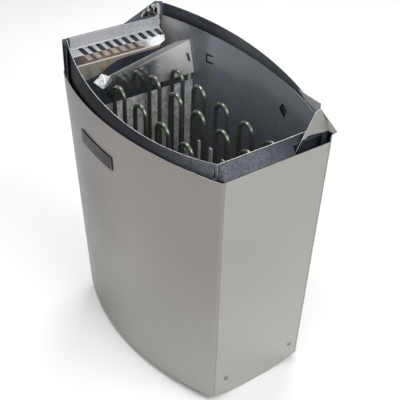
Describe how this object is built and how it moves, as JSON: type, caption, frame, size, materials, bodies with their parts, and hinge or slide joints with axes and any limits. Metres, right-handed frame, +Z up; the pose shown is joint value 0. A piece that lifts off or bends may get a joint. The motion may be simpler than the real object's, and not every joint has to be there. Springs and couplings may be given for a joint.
{
  "type": "electric sauna heater",
  "caption": "Boat-shaped stainless sauna heater with an open stone space, upright heating element loops, slotted air duct panel and end-mounted control knobs.",
  "frame": {"origin": "middle of the overall footprint, on the surface the heater stands on", "axes": "+Z up, -Y to the curved front with the badge, +X to the bare flat end, -X to the end with the air duct and the controls"},
  "size_m": [0.48, 0.3175, 0.568],
  "materials": {
    "stainless": "satin brushed stainless steel",
    "dark_steel": "dark heat-resistant coating, satin",
    "galvanised": "hot-dip galvanised, spangled",
    "element_sheath": "oxidised olive-dark sheath",
    "bright_steel": "bright rolled steel",
    "zinc": "zinc plated",
    "brass": "machined",
    "ceramic": "matt ceramic",
    "black_plastic": "fine matt",
    "red_plastic": "gloss",
    "wire_sleeve": "silicone sleeve",
    "copper": "bare copper"
  },
  "bodies": {
    "heater": {"front_panel": "stainless", "right_end_panel": "stainless", "left_end_panel": "stainless", "baffle_plate": "stainless", "corner_flap": "stainless", "rear_casing": "stainless", "left_end_collar": "dark_steel", "inner_front_wall": "dark_steel", "inner_rear_wall": "galvanised", "inner_right_wall": "galvanised", "right_band": "galvanised", "slotted_air_panel": "galvanised", "slotted_ledge": "galvanised", "ledge_lip": "galvanised", "duct_wall": "galvanised", "element_base_plate": "galvanised", "box_lid": "galvanised", "heating_element_rear": "element_sheath", "heating_element_middle": "element_sheath", "heating_element_front": "element_sheath", "corner_stay": "bright_steel", "element_support_bar_1": "bright_steel", "element_support_bar_2": "bright_steel", "element_support_bar_3": "bright_steel", "right_end_screw_1": "zinc", "right_end_screw_2": "zinc", "left_end_screw_1": "zinc", "left_end_screw_2": "zinc", "right_end_bracket": "zinc", "left_end_bracket": "zinc", "connection_box": "zinc", "wall_bracket_upper": "zinc", "wall_bracket_lower": "zinc", "element_nut_rear_1": "brass", "element_nut_rear_2": "brass", "element_nut_middle_1": "brass", "element_nut_middle_2": "brass", "element_nut_front_1": "brass", "element_nut_front_2": "brass", "terminal_block": "ceramic", "timer_unit": "ceramic", "thermostat_unit": "ceramic", "cable_gland": "black_plastic", "control_plate": "black_plastic", "overheat_cutout": "black_plastic", "badge_plate": "black_plastic", "line_wire_1": "wire_sleeve", "line_wire_2": "wire_sleeve", "line_wire_3": "wire_sleeve", "neutral_wire": "wire_sleeve", "neutral_bridge": "copper", "thermostat_sensor": "copper", "limiter_sensor": "copper"},
    "timer_dial": {"timer_knob": "black_plastic", "timer_shaft": "zinc"},
    "thermostat_dial": {"thermostat_knob": "black_plastic", "thermostat_shaft": "zinc"},
    "reset_button": {"reset_button": "red_plastic"}
  },
  "joints": [
    {"name": "timer_turn", "type": "hinge", "parent": "heater", "child": "timer_dial", "pos_m": [-0.21191, -0.04715, 0.084], "axis": [0.9987, 0, 0.0508], "range_deg": [0, 300]},
    {"name": "thermostat_turn", "type": "hinge", "parent": "heater", "child": "thermostat_dial", "pos_m": [-0.21191, 0.03685, 0.084], "axis": [0.9987, 0, 0.0508], "range_deg": [0, 270]},
    {"name": "reset_press", "type": "slide", "parent": "heater", "child": "reset_button", "axis": [0.9987, 0, 0.0508], "range_m": [0, 0.003], "stiffness_N_per_m": 600}
  ]
}
